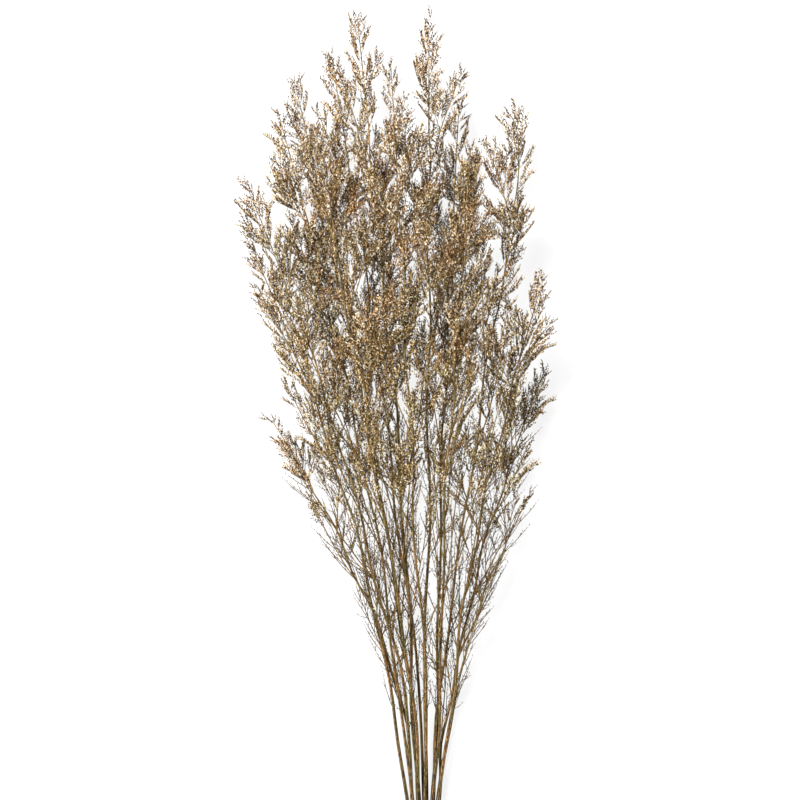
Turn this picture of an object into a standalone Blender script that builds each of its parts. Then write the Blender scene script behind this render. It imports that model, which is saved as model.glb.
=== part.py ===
"""A tied bunch of dried statice lying down: sixteen branched stems and a twine tie.

Metres, +Z up. The cut ends point to -Y, the tips to +Y, and the bunch lies on z = 0.
"""

import math
import random

import bmesh
import bpy
import numpy as np
from mathutils import Matrix, Vector

NAME = "dried_statice"
MM = 0.001
SEED = 11
BRANCH_SEED_STEP = 97
TWIG_SEED = 5000

# The bunch along Y: cut ends, the middle of the tie, and the lowest branches.
CUT_Y = -0.440
TIE_Y = -0.405
TIE_HALF = 0.006

# Stems as they lie in the tie, in three rows from the surface up.
FOOT_X = 0.029
FOOT_PITCH = 5.0 * MM
ROW_PITCH = 4.35 * MM
FOOT_RADIUS = 2.15 * MM
TIE_GAP = 0.35 * MM
TWINE = 2.0 * MM
ROW_BASE = FOOT_RADIUS + TIE_GAP + TWINE
SPREAD = 0.34
SPREAD_OVER = 0.075

# Above the tie each row sways aside and back again, so that the stems cross.
ROW_SWAY = (4.0 * MM, -4.5 * MM, 5.0 * MM)
STEM_SWAY = (1.0 * MM, 1.5 * MM, -0.3 * MM, 1.5 * MM, -1.2 * MM, -0.8 * MM)
SWAY_OVER = 0.30

# Height of the three layers in the head, and the run over which they part.
LAYER_Z = (0.026, 0.062, 0.098)
LAYER_MID = 0.050
LAYER_RUN = 0.40
HEAD_HALF = 0.185
HEAD_TOP = 0.128

# Tip x, tip y, bow of the stem and hook of its tip, from left to right in each row.
ROWS = (
    (
        (-0.127, 0.034, 2.0, 0.0),
        (-0.104, 0.380, 1.5, 0.0),
        (-0.066, 0.405, 1.4, 0.0),
        (0.064, 0.354, 1.4, 0.0),
        (0.151, 0.083, 1.8, 0.0),
    ),
    (
        (-0.146, 0.210, 1.7, 0.0),
        (-0.118, 0.342, 1.5, 0.0),
        (-0.039, 0.438, 1.4, 0.0),
        (0.033, 0.434, 1.3, 0.0),
        (0.142, 0.364, 1.5, 0.030),
        (0.137, -0.036, 2.1, 0.0),
    ),
    (
        (-0.148, 0.266, 1.7, 0.0),
        (-0.086, 0.324, 1.5, 0.0),
        (-0.005, 0.384, 1.4, 0.0),
        (0.074, 0.304, 1.5, 0.0),
        (0.147, 0.176, 1.7, 0.0),
    ),
)

# Shape of a stem: flare below the tie, and where the hook of a tip begins.
FLARE = 3.3
HOOK_FROM = 0.8
HOOK_DROP = 0.8

# Where the stem bends and branches, as shares of the way from the tie to the tip.
NODE_RISES = (0.28, 0.41, 0.53, 0.64, 0.74, 0.83)
PLAIN_RISES = (0.07, 0.17)
FIRST_NODE = 5
KINKS = (2.2 * MM, 1.1 * MM, 0.0)
STEM_TOP_RADIUS = 0.85 * MM
STEM_SIDES = 5

# The leader continues the stem to its tip, and may rise or dip to pass its neighbours.
LEADER_THIN = 0.8
LEADER_SINK = 1.6 * MM
LEADER_LIFTS = (0.0, 3.0 * MM, -3.0 * MM, 6.0 * MM, -6.0 * MM, 9.0 * MM)

# Branches: long and low down, shorter near the tip.
BRANCH_LONG = 0.210
BRANCH_SHORT = 0.095
BRANCH_LEAN = 27.0
BRANCH_TURN = 2.6
BRANCH_REACH = 0.7
BRANCH_VARY = 0.1
BRANCH_BARE_STEPS = 3
BARE_LEAST = 0.020
BRANCH_RADIUS = 0.80 * MM
BRANCH_END_RADIUS = 0.50 * MM
SHOOT_SIDES = 3

# Twigs grow from the bends of the branches.
TWIG_STEPS = 4
TWIG_LENGTH = 0.047
TWIG_RADIUS = 0.46 * MM
TWIG_END_RADIUS = 0.38 * MM
TWIG_COUNT = 7
TWIG_LEAN = 36.0
TWIG_TURN = 6.0

# How a shoot picks its way: spread of its lean, wobble, flatness and turn between tries.
LEAN_SPREAD = 7.0
WOBBLE = 0.07
FLATNESS = 0.65
GOLDEN_TURN = math.radians(137.5)
TRIES = 16
CLEAR = 0.45 * MM
FLOOR_Z = 0.5 * BRANCH_RADIUS
OUTLINE_WEIGHT = 3.0

# Each bearing step of a twig carries two spikelets, raised from its upper sides.
BEAR_STEPS = 5
BEAR_STEP = 9.5 * MM
FLORET_OUT = 4.6 * MM
FLORET_LEAN = 0.55
FLORET_RISE = math.radians(30.0)
FLORET_THICK = (0.5 * MM, 0.1 * MM)

# The tie: the widths of its strands and grooves, its knot and its tails.
STRANDS = (-2.0 * MM, 0.0, 2.0 * MM)
STRAND_FLAT = 0.55 * MM
TIE_DEPTH = 3.0 * MM
TIE_EDGE = 1.2 * MM
GROOVE = 1.3 * MM
SPIN_RADIUS = 10.0 * MM
LOOP_ANGLES = (-89, -55, -15, 15, 55, 89, 91, 125, 165, 195, 235, 269)
KNOT_SIZE = (3.0 * MM, 3.4 * MM, 1.9 * MM)
KNOT_RISE = 1.6 * MM
TAIL_RADIUS = 0.9 * MM
TAIL_SIDES = 5
TAIL = ((4.5 * MM, 6.0 * MM, 1.0 * MM), (7.0 * MM, 14.0 * MM, 0.4 * MM), (7.6 * MM, 22.0 * MM, 0.9 * MM))

STEM_COLOUR = (0.29, 0.22, 0.15)
STEM_ROUGH = 0.85
TWINE_COLOUR = (0.36, 0.27, 0.16)
TWINE_ROUGH = 0.95

# Outline of the bunch seen from above, as (y, left x, right x).
OUTLINE = (
    (-0.440, 0.004, 0.056),
    (-0.250, -0.004, 0.052),
    (-0.200, -0.012, 0.064),
    (-0.150, -0.036, 0.094),
    (-0.100, -0.058, 0.114),
    (-0.040, -0.084, 0.138),
    (0.030, -0.124, 0.146),
    (0.100, -0.122, 0.154),
    (0.170, -0.142, 0.152),
    (0.215, -0.150, 0.128),
    (0.265, -0.152, 0.126),
    (0.345, -0.122, 0.118),
    (0.385, -0.106, 0.070),
    (0.440, -0.046, 0.036),
)

# The open notch between the two highest plumes, as (left x, right x, lowest y).
NOTCH = (-0.014, 0.020, 0.362)

UP = Vector((0.0, 1.0, 0.0))


def smooth(value):
    """Ease from 0 to 1."""
    value = min(1.0, max(0.0, value))
    return value * value * (3.0 - 2.0 * value)


def outline_at(y):
    """Left and right limit of the bunch at this height."""
    for low, high in zip(OUTLINE, OUTLINE[1:]):
        if y <= high[0]:
            part = max(0.0, (y - low[0]) / (high[0] - low[0]))
            return low[1] + (high[1] - low[1]) * part, low[2] + (high[2] - low[2]) * part
    return OUTLINE[-1][1:]


def outside(points):
    """How far the points stray past the outline, in metres."""
    stray = 0.0
    for point in points:
        left, right = outline_at(point.y)
        stray = max(stray, left - point.x, point.x - right, point.y - OUTLINE[-1][0])
        stray = max(stray, min(point.x - NOTCH[0], NOTCH[1] - point.x, point.y - NOTCH[2]))
    return stray


class Room:
    """Every shoot placed so far, as rods with the stem that owns them."""

    def __init__(self):
        self.starts = np.zeros((0, 3))
        self.ends = np.zeros((0, 3))
        self.radii = np.zeros(0)
        self.owners = np.zeros(0, int)
        self.tips = []

    def add(self, shoot, owner):
        rows = np.array([tuple(point) for point in shoot.points])
        thick = np.maximum(shoot.radii[:-1], shoot.radii[1:])
        self.starts = np.vstack((self.starts, rows[:-1]))
        self.ends = np.vstack((self.ends, rows[1:]))
        self.radii = np.concatenate((self.radii, thick))
        self.owners = np.concatenate((self.owners, np.full(len(thick), owner)))

    def gap(self, shoot, owner):
        """Smallest clear distance from a shoot to those of other stems."""
        others = self.owners != owner
        best = 1.0
        if not others.any():
            return best
        starts, ends, thick = self.starts[others], self.ends[others], self.radii[others]
        for index in range(len(shoot.points) - 1):
            start = np.array(shoot.points[index])
            end = np.array(shoot.points[index + 1])
            reach = rod_distance(start, end, starts, ends) - thick
            best = min(best, float(reach.min()) - max(shoot.radii[index : index + 2]))
        return best

    def crowding(self, point):
        """Distance from the nearest tip that is already there."""
        if not self.tips:
            return 1.0
        rows = np.array(self.tips) - np.array(point)
        return float(np.sqrt((rows * rows).sum(1).min()))


class Shoot:
    """A stem, branch or twig: its points, its radii and how many outer steps bear florets."""

    def __init__(self, points, radii, bearing):
        self.points = points
        self.radii = radii
        self.bearing = bearing


class Stem:
    """One cut stem: its place in the tie and its shoots, the main stem first."""

    def __init__(self, row, column, trunk):
        self.row = row
        self.column = column
        self.tip_y = ROWS[row][column][1]
        self.shoots = [trunk]


def rod_distance(start, end, starts, ends):
    """Distance between one segment and many."""
    along = end - start
    others = ends - starts
    between = start - starts
    a = max(along @ along, 1e-12)
    e = np.maximum((others * others).sum(1), 1e-12)
    b = others @ along
    c = between @ along
    f = (others * between).sum(1)
    s = np.clip((b * f - c * e) / np.maximum(a * e - b * b, 1e-18), 0.0, 1.0)
    t = np.clip((b * s + f) / e, 0.0, 1.0)
    s = np.clip((b * t - c) / a, 0.0, 1.0)
    gap = between + s[:, None] * along - t[:, None] * others
    return np.sqrt((gap * gap).sum(1))


def foot_place(row, column):
    """Where a stem passes through the tie, as x and z."""
    count = len(ROWS[row])
    x = FOOT_X + (column - 0.5 * (count - 1)) * FOOT_PITCH
    return x, ROW_BASE + row * ROW_PITCH


def axis_point(row, column, y):
    """Middle of a stem at a height y, from the cut end to the tip."""
    tip_x, tip_y, bow, hook = ROWS[row][column]
    foot_x, foot_z = foot_place(row, column)
    start = TIE_Y + TIE_HALF
    if y <= start:
        flare = 1.0 + FLARE * max(0.0, TIE_Y - TIE_HALF - y)
        return Vector((FOOT_X + (foot_x - FOOT_X) * flare, y, foot_z))
    rise = (y - start) / (tip_y - start)
    fan = rise ** bow
    x = foot_x + (tip_x - foot_x) * fan
    x += (foot_x - FOOT_X) * SPREAD * smooth((y - start) / SPREAD_OVER) * (1.0 - fan)
    sway = min(1.0, (y - start) / SWAY_OVER)
    x += (ROW_SWAY[row] + STEM_SWAY[column]) * math.sin(math.pi * sway) ** 2
    side = math.sqrt(max(0.0, 1.0 - (tip_x / HEAD_HALF) ** 2))
    layer = LAYER_Z[row]
    if layer > LAYER_MID:
        layer = LAYER_MID + (layer - LAYER_MID) * side
    z = foot_z + (layer - foot_z) * smooth((y - start) / LAYER_RUN)
    bent = max(0.0, (rise - HOOK_FROM) / (1.0 - HOOK_FROM))
    return Vector((x - hook * bent ** 3, y - HOOK_DROP * hook * bent ** 6, z))


def stem_radius(y, tip_y):
    """The stem thins evenly from its foot to its top."""
    share = (y - CUT_Y) / (tip_y - CUT_Y)
    return FOOT_RADIUS + (STEM_TOP_RADIUS - FOOT_RADIUS) * share


def main_stem(row, column, kink):
    """A main stem, bent a little at each branch."""
    tip_y = ROWS[row][column][1]
    start = TIE_Y + TIE_HALF
    heights = [CUT_Y, TIE_Y - TIE_HALF, start]
    heights += [start + (tip_y - start) * rise for rise in PLAIN_RISES + NODE_RISES]
    points = [axis_point(row, column, y) for y in heights]
    for index in range(FIRST_NODE, len(points)):
        points[index].x += kink if (index + column) % 2 else -kink
    return Shoot(points, [stem_radius(y, tip_y) for y in heights], 0)


def clear_stem(room, owner, row, column):
    """A main stem whose bends are as strong as the stems beside it allow."""
    for kink in KINKS:
        trunk = main_stem(row, column, kink)
        if room.gap(trunk, owner) > CLEAR:
            break
    return trunk


def step_lengths(length):
    """Long bare steps first, then the short bearing steps."""
    bearing = BEAR_STEPS * BEAR_STEP
    bare = max(BARE_LEAST, length - bearing)
    return [bare / BRANCH_BARE_STEPS] * BRANCH_BARE_STEPS + [BEAR_STEP] * BEAR_STEPS


def reach_out(root, heading, steps, turn, rng):
    """Grow a shoot from its root, turning towards the tips of the bunch."""
    points = [root.copy()]
    heading = heading.normalized()
    for step in steps:
        wobble = Vector((rng.uniform(-1, 1), 0.0, rng.uniform(-1, 1))) * WOBBLE
        heading = (heading + UP * turn * step + wobble).normalized()
        point = points[-1] + heading * step
        if point.z < FLOOR_Z:
            point.z = FLOOR_Z
            heading.z = max(0.0, heading.z)
        if point.z > HEAD_TOP:
            point.z = HEAD_TOP
            heading.z = min(0.0, heading.z)
        points.append(point)
    return points


def side_heading(trend, angle, around):
    """A direction that leaves the trend by an angle, flatter in height than in width."""
    out = Vector((math.cos(around), 0.0, FLATNESS * math.sin(around)))
    return trend.normalized() * math.cos(angle) + out * math.sin(angle)


def best_shoot(room, owner, shoot_start, form, rng):
    """Try several directions and keep the clear one with the most room round its tip."""
    root, trend, around = shoot_start
    lean, turn, steps, radii, bearing = form
    best = None
    best_score = 0.0
    for attempt in range(TRIES):
        angle = math.radians(lean + rng.uniform(-LEAN_SPREAD, LEAN_SPREAD))
        heading = side_heading(trend, angle, around + attempt * GOLDEN_TURN)
        shoot = Shoot(reach_out(root, heading, steps, turn, rng), radii, bearing)
        if room.gap(shoot, owner) < CLEAR:
            continue
        score = 1.0 + room.crowding(shoot.points[-1]) - OUTLINE_WEIGHT * outside(shoot.points)
        if score > best_score:
            best = shoot
            best_score = score
    return best


def grow_bunch():
    """Every stem with all its shoots, and the room they take."""
    room = Room()
    stems = []
    for row, stems_in_row in enumerate(ROWS):
        for column in range(len(stems_in_row)):
            trunk = clear_stem(room, len(stems), row, column)
            room.add(trunk, len(stems))
            stems.append(Stem(row, column, trunk))
    for owner, stem in enumerate(stems):
        keep(room, owner, stem, leader(room, owner, stem))
    for node in range(len(NODE_RISES)):
        for owner, stem in enumerate(stems):
            keep(room, owner, stem, branch(room, owner, stem, node))
    for owner, stem in enumerate(stems):
        grow_twigs(room, owner, stem)
    return stems, room


def keep(room, owner, stem, shoot):
    """Note a new shoot, if there was room for one."""
    if shoot:
        room.add(shoot, owner)
        room.tips.append(tuple(shoot.points[-1]))
        stem.shoots.append(shoot)


def taper(first, last, count):
    """Radii that thin evenly."""
    return [first + (last - first) * index / (count - 1) for index in range(count)]


def leader(room, owner, stem):
    """The top of the main stem, out to the tip of the bunch."""
    trunk = stem.shoots[0]
    start = TIE_Y + TIE_HALF
    steps = step_lengths((stem.tip_y - start) * (1.0 - NODE_RISES[-1]))
    radii = taper(trunk.radii[-1] * LEADER_THIN, BRANCH_END_RADIUS, len(steps) + 1)
    sunk = (trunk.points[-1] - trunk.points[-2]).normalized() * LEADER_SINK
    for lift in LEADER_LIFTS:
        points = [trunk.points[-1] - sunk]
        for count in range(1, len(steps) + 1):
            share = sum(steps[:count]) / sum(steps)
            rise = NODE_RISES[-1] + (1.0 - NODE_RISES[-1]) * share
            point = axis_point(stem.row, stem.column, start + (stem.tip_y - start) * rise)
            points.append(point + Vector((0.0, 0.0, lift * share)))
        shoot = Shoot(points, radii, BEAR_STEPS)
        if room.gap(shoot, owner) > CLEAR:
            break
    return shoot


def branch(room, owner, stem, node):
    """One side branch from a bend of the main stem."""
    rng = random.Random(SEED + BRANCH_SEED_STEP * owner + node)
    points = stem.shoots[0].points
    index = FIRST_NODE + node
    share = node / (len(NODE_RISES) - 1)
    reach = min(1.0, (points[-1].y - TIE_Y) / BRANCH_REACH)
    length = (BRANCH_LONG + (BRANCH_SHORT - BRANCH_LONG) * share) * reach
    steps = step_lengths(length * rng.uniform(1.0 - BRANCH_VARY, 1.0 + BRANCH_VARY))
    radii = taper(BRANCH_RADIUS, BRANCH_END_RADIUS, len(steps) + 1)
    around = 0.0 if (index + stem.column) % 2 == 0 else math.pi
    start = (points[index], points[index] - points[index - 1], around)
    return best_shoot(room, owner, start, (BRANCH_LEAN, BRANCH_TURN, steps, radii, BEAR_STEPS), rng)


def grow_twigs(room, owner, stem):
    """Twigs from the bends of the leader and the branches, turn by turn."""
    rng = random.Random(SEED + TWIG_SEED + owner)
    hosts = stem.shoots[1:]
    steps = [TWIG_LENGTH / TWIG_STEPS] * TWIG_STEPS
    radii = taper(TWIG_RADIUS, TWIG_END_RADIUS, len(steps) + 1)
    form = (TWIG_LEAN, TWIG_TURN, steps, radii, TWIG_STEPS)
    for turn in range(TWIG_COUNT):
        points = hosts[turn % len(hosts)].points
        index = 2 + (turn // len(hosts) + turn) % 2
        start = (points[index], points[index] - points[index - 1], 0.0 if turn % 2 else math.pi)
        keep(room, owner, stem, best_shoot(room, owner, start, form, rng))


def floret_places(shoot):
    """Step, side, foot and tip of each spikelet on the bearing steps of a shoot."""
    places = []
    last = len(shoot.points) - 1
    for index in range(last - shoot.bearing, last):
        start, end = shoot.points[index], shoot.points[index + 1]
        along = end - start
        turn = along.to_track_quat("Z", "Y").to_matrix()
        foot = (start + end) / 2
        for side in (-1, 1):
            out = turn @ Vector((side * math.cos(FLORET_RISE), math.sin(FLORET_RISE), 0.0))
            places.append((index, side, foot, foot + along * FLORET_LEAN + out * FLORET_OUT))
    return places


def clear_florets(stems, room):
    """For each shoot of each stem, the (step, side) of the spikelets that touch no other stem."""
    chosen = []
    for owner, stem in enumerate(stems):
        chosen.append([])
        for shoot in stem.shoots:
            kept = set()
            for index, side, foot, tip in floret_places(shoot):
                spikelet = Shoot([foot, tip], FLORET_THICK, 0)
                if tip.z > FLOOR_Z and room.gap(spikelet, owner) > CLEAR:
                    room.add(spikelet, owner)
                    kept.add((index, side))
            chosen[-1].append(kept)
    return chosen


def ring_matrix(points, index, radius):
    """Place, turn and size of a ring on a shoot."""
    before = points[index] - points[max(0, index - 1)]
    after = points[min(len(points) - 1, index + 1)] - points[index]
    along = before.normalized() + after.normalized()
    turn = along.to_track_quat("Z", "Y").to_matrix().to_4x4()
    return Matrix.Translation(points[index]) @ turn @ Matrix.Scale(radius, 4)


def shoot_object(shoot, sides, florets, flat_tip):
    """A thin tube along a shoot, with spikelets raised from its upper sides."""
    points = shoot.points
    bm = bmesh.new()
    place = ring_matrix(points, 0, shoot.radii[0])
    bmesh.ops.create_circle(bm, cap_ends=False, segments=sides, radius=1.0, matrix=place)
    ring = list(bm.edges)
    bmesh.ops.holes_fill(bm, edges=ring)
    first = set(ring)
    raised = []
    for index in range(1, len(points)):
        new = bmesh.ops.extrude_edge_only(bm, edges=ring)["geom"]
        verts = [item for item in new if isinstance(item, bmesh.types.BMVert)]
        faces = [item for item in new if isinstance(item, bmesh.types.BMFace)]
        following = ring_matrix(points, index, shoot.radii[index])
        bmesh.ops.transform(bm, matrix=following @ place.inverted(), verts=verts)
        ring = [edge for edge in bm.edges if edge.is_boundary and edge not in first]
        place = following
        raised += side_faces(faces, points, index - 1, florets)
    if flat_tip:
        bmesh.ops.holes_fill(bm, edges=ring)
    else:
        bmesh.ops.pointmerge(bm, verts=verts, merge_co=points[-1])
    bmesh.ops.recalc_face_normals(bm, faces=bm.faces)
    raise_florets(bm, raised)
    return object_from(bm, "shoot")


def object_from(bm, name):
    """A new object that holds this mesh."""
    mesh = bpy.data.meshes.new(name)
    bm.to_mesh(mesh)
    bm.free()
    return bpy.data.objects.new(name, mesh)


def side_faces(faces, points, index, florets):
    """The faces of this step that carry a spikelet, with the way they point."""
    found = []
    along = points[index + 1] - points[index]
    turn = along.to_track_quat("Z", "Y").to_matrix()
    middle = (points[index] + points[index + 1]) / 2
    for face in faces:
        local = turn.transposed() @ (face.calc_center_median() - middle)
        if local.y > 0:
            side = 1 if local.x > 0 else -1
            if (index, side) in florets:
                found.append((face, along))
    return found


def raise_florets(bm, raised):
    """Pull each chosen face out to a point that leans forward."""
    for face, along in raised:
        peaks = bmesh.ops.poke(bm, faces=[face], offset=FLORET_OUT, center_mode="MEAN")["verts"]
        bmesh.ops.translate(bm, verts=peaks, vec=along * FLORET_LEAN)


def plain_material(name, colour, rough):
    material = bpy.data.materials.new(name)
    material.use_nodes = True
    shader = material.node_tree.nodes["Principled BSDF"]
    shader.inputs["Base Color"].default_value = (*colour, 1.0)
    shader.inputs["Roughness"].default_value = rough
    return material


def joined(name, pieces, collection, scratch):
    """Union the pieces of one node in one Boolean and keep the result as one object."""
    body = pieces[0]
    collection.objects.link(body)
    for piece in pieces[1:]:
        scratch.objects.link(piece)
    union = body.modifiers.new("union", "BOOLEAN")
    union.operation = "UNION"
    union.operand_type = "COLLECTION"
    union.collection = scratch
    union.solver = "EXACT"
    graph = bpy.context.evaluated_depsgraph_get()
    mesh = bpy.data.meshes.new_from_object(body.evaluated_get(graph))
    body.modifiers.remove(union)
    body.data = mesh
    body.name = name
    for piece in pieces[1:]:
        bpy.data.objects.remove(piece, do_unlink=True)
    return body


def make_stem(name, stem, florets, collection, scratch):
    """One stem with its branches, twigs and spikelets, fused into one solid."""
    pieces = []
    for shoot, own in zip(stem.shoots, florets):
        trunk = shoot is stem.shoots[0]
        pieces.append(shoot_object(shoot, STEM_SIDES if trunk else SHOOT_SIDES, own, trunk))
    body = joined(name, pieces, collection, scratch)
    body.data.materials.append(plain_material(f"dried_{name}", STEM_COLOUR, STEM_ROUGH))


def tie_loop():
    """Points round the stems in the tie, close to the outermost ones, and the ways they face."""
    reach = FOOT_RADIUS + TIE_GAP
    feet = [foot_place(row, column) for row in range(len(ROWS)) for column in range(len(ROWS[row]))]
    loop = []
    for angle in LOOP_ANGLES:
        out = Vector((math.cos(math.radians(angle)), 0.0, math.sin(math.radians(angle))))
        x, z = max(feet, key=lambda foot: foot[0] * out.x + foot[1] * out.z)
        loop.append((Vector((x, TIE_Y, z)) + out * reach, out))
    return loop


def tie_profile():
    """Three strands side by side, as (along the stems, outward)."""
    profile = [(-TIE_DEPTH, 0.0), (-TIE_DEPTH, TIE_EDGE)]
    for middle in STRANDS:
        profile += [(middle - STRAND_FLAT, TWINE), (middle + STRAND_FLAT, TWINE)]
        if middle < STRANDS[-1]:
            profile.append((middle + 0.5 * TWINE, GROOVE))
    return profile + [(TIE_DEPTH, TIE_EDGE), (TIE_DEPTH, 0.0)]


def tie_band():
    """The turns of twine: the strands' profile, spun into a ring and fitted to the loop."""
    bm = bmesh.new()
    loop = tie_loop()
    profile = [bm.verts.new((SPIN_RADIUS + outward, along, 0.0)) for along, outward in tie_profile()]
    edges = [bm.edges.new(pair) for pair in zip(profile, profile[1:] + profile[:1])]
    around = {"cent": (0.0, 0.0, 0.0), "axis": UP, "angle": math.tau, "steps": len(loop)}
    bmesh.ops.spin(bm, geom=profile + edges, use_merge=True, **around)
    for vert in bm.verts:
        share = math.atan2(vert.co.z, vert.co.x) / math.tau
        point, out = loop[round(share * len(loop)) % len(loop)]
        outward = math.hypot(vert.co.x, vert.co.z) - SPIN_RADIUS
        vert.co = point + out * outward + UP * vert.co.y
    bmesh.ops.recalc_face_normals(bm, faces=bm.faces)
    return object_from(bm, "band")


def knot_parts():
    """A small round knot on top of the tie, and its two tails."""
    top = Vector((FOOT_X, TIE_Y, max(point.z for point, out in tie_loop()) + KNOT_RISE))
    bm = bmesh.new()
    place = Matrix.Translation(top) @ Matrix.Diagonal((*KNOT_SIZE, 1.0))
    bmesh.ops.create_icosphere(bm, subdivisions=1, radius=1.0, matrix=place)
    parts = [object_from(bm, "knot")]
    for side in (-1.0, 1.0):
        points = [top] + [top + Vector((side * x, y, z)) for x, y, z in TAIL]
        tail = Shoot(points, [TAIL_RADIUS] * len(points), 0)
        parts.append(shoot_object(tail, TAIL_SIDES, (), True))
    return parts


def build():
    for old in list(bpy.data.objects):
        bpy.data.objects.remove(old, do_unlink=True)
    collection = bpy.data.collections.new(NAME)
    scratch = bpy.data.collections.new("pieces")
    bpy.context.scene.collection.children.link(collection)
    bpy.context.scene.collection.children.link(scratch)
    stems, room = grow_bunch()
    florets = clear_florets(stems, room)
    for number, stem in enumerate(stems, start=1):
        make_stem(f"stem_{number:02d}", stem, florets[number - 1], collection, scratch)
    tie = joined("twine_tie", [tie_band()] + knot_parts(), collection, scratch)
    tie.data.materials.append(plain_material("twine", TWINE_COLOUR, TWINE_ROUGH))


build()
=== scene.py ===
"""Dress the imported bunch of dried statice: wood, florets, twine tie, floor, light and camera."""

import collections
import itertools
import math
import random

import bmesh
import bpy
import numpy as np
from mathutils import Matrix, Vector


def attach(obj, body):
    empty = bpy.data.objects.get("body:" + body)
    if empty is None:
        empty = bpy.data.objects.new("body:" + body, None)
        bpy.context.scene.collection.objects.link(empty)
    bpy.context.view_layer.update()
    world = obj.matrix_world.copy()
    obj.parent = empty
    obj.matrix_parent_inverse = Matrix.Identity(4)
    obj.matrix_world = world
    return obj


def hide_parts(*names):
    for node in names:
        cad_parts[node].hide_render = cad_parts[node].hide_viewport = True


bl_info = {
    "name": "Dried statice dresser",
    "version": (1, 0, 0),
    "blender": (4, 5, 0),
    "location": "View3D > Sidebar > Statice",
    "description": "Adds stems, florets, a twine tie, a floor and a camera to the packed bunch",
    "category": "Object",
}

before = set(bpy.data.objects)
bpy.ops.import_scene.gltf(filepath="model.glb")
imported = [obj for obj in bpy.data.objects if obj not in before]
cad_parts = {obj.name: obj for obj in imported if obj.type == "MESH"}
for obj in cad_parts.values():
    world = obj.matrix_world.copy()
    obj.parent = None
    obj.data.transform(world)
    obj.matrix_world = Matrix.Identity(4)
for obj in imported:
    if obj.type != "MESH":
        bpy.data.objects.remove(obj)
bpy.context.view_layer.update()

MM = 0.001
SEED = 11
BRANCH_SEED_STEP = 97
TWIG_SEED = 5000
WOOD_SEED = 300
FLORET_SEED = 900
LOWEST = 0.1 * MM

# The bunch along Y: cut ends, the middle of the tie, and the lowest branches.
CUT_Y = -0.440
TIE_Y = -0.405
TIE_HALF = 0.006

# Stems as they lie in the tie, in three rows from the surface up.
FOOT_X = 0.029
FOOT_PITCH = 5.0 * MM
ROW_PITCH = 4.35 * MM
FOOT_RADIUS = 2.15 * MM
TIE_GAP = 0.35 * MM
TWINE = 2.0 * MM
ROW_BASE = FOOT_RADIUS + TIE_GAP + TWINE
SPREAD = 0.34
SPREAD_OVER = 0.075

# Above the tie each row sways aside and back again, so that the stems cross.
ROW_SWAY = (4.0 * MM, -4.5 * MM, 5.0 * MM)
STEM_SWAY = (1.0 * MM, 1.5 * MM, -0.3 * MM, 1.5 * MM, -1.2 * MM, -0.8 * MM)
SWAY_OVER = 0.30

# Height of the three layers in the head, and the run over which they part.
LAYER_Z = (0.026, 0.062, 0.098)
LAYER_MID = 0.050
LAYER_RUN = 0.40
HEAD_HALF = 0.185
HEAD_TOP = 0.128

# Tip x, tip y, bow of the stem and hook of its tip, from left to right in each row.
ROWS = (
    (
        (-0.127, 0.034, 2.0, 0.0),
        (-0.104, 0.380, 1.5, 0.0),
        (-0.066, 0.405, 1.4, 0.0),
        (0.064, 0.354, 1.4, 0.0),
        (0.151, 0.083, 1.8, 0.0),
    ),
    (
        (-0.146, 0.210, 1.7, 0.0),
        (-0.118, 0.342, 1.5, 0.0),
        (-0.039, 0.438, 1.4, 0.0),
        (0.033, 0.434, 1.3, 0.0),
        (0.142, 0.364, 1.5, 0.030),
        (0.137, -0.036, 2.1, 0.0),
    ),
    (
        (-0.148, 0.266, 1.7, 0.0),
        (-0.086, 0.324, 1.5, 0.0),
        (-0.005, 0.384, 1.4, 0.0),
        (0.074, 0.304, 1.5, 0.0),
        (0.147, 0.176, 1.7, 0.0),
    ),
)

# Shape of a stem: flare below the tie, and where the hook of a tip begins.
FLARE = 3.3
HOOK_FROM = 0.8
HOOK_DROP = 0.8

# Where the stem bends and branches, as shares of the way from the tie to the tip.
NODE_RISES = (0.28, 0.41, 0.53, 0.64, 0.74, 0.83)
PLAIN_RISES = (0.07, 0.17)
FIRST_NODE = 5
KINKS = (2.2 * MM, 1.1 * MM, 0.0)
STEM_TOP_RADIUS = 0.85 * MM

# The leader continues the stem to its tip, and may rise or dip to pass its neighbours.
LEADER_THIN = 0.8
LEADER_SINK = 1.6 * MM
LEADER_LIFTS = (0.0, 3.0 * MM, -3.0 * MM, 6.0 * MM, -6.0 * MM, 9.0 * MM)

# Branches: long and low down, shorter near the tip.
BRANCH_LONG = 0.210
BRANCH_SHORT = 0.095
BRANCH_LEAN = 27.0
BRANCH_TURN = 2.6
BRANCH_REACH = 0.7
BRANCH_VARY = 0.1
BRANCH_BARE_STEPS = 3
BARE_LEAST = 0.020
BRANCH_RADIUS = 0.80 * MM
BRANCH_END_RADIUS = 0.50 * MM

# Twigs grow from the bends of the branches.
TWIG_STEPS = 4
TWIG_LENGTH = 0.047
TWIG_RADIUS = 0.46 * MM
TWIG_END_RADIUS = 0.38 * MM
TWIG_COUNT = 7
TWIG_LEAN = 36.0
TWIG_TURN = 6.0

# How a shoot picks its way: spread of its lean, wobble, flatness and turn between tries.
LEAN_SPREAD = 7.0
WOBBLE = 0.07
FLATNESS = 0.65
GOLDEN_TURN = math.radians(137.5)
TRIES = 16
CLEAR = 0.45 * MM
FLOOR_Z = 0.5 * BRANCH_RADIUS
OUTLINE_WEIGHT = 3.0

# Each outer step of a branch bears florets.
BEAR_STEPS = 5
BEAR_STEP = 9.5 * MM

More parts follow.
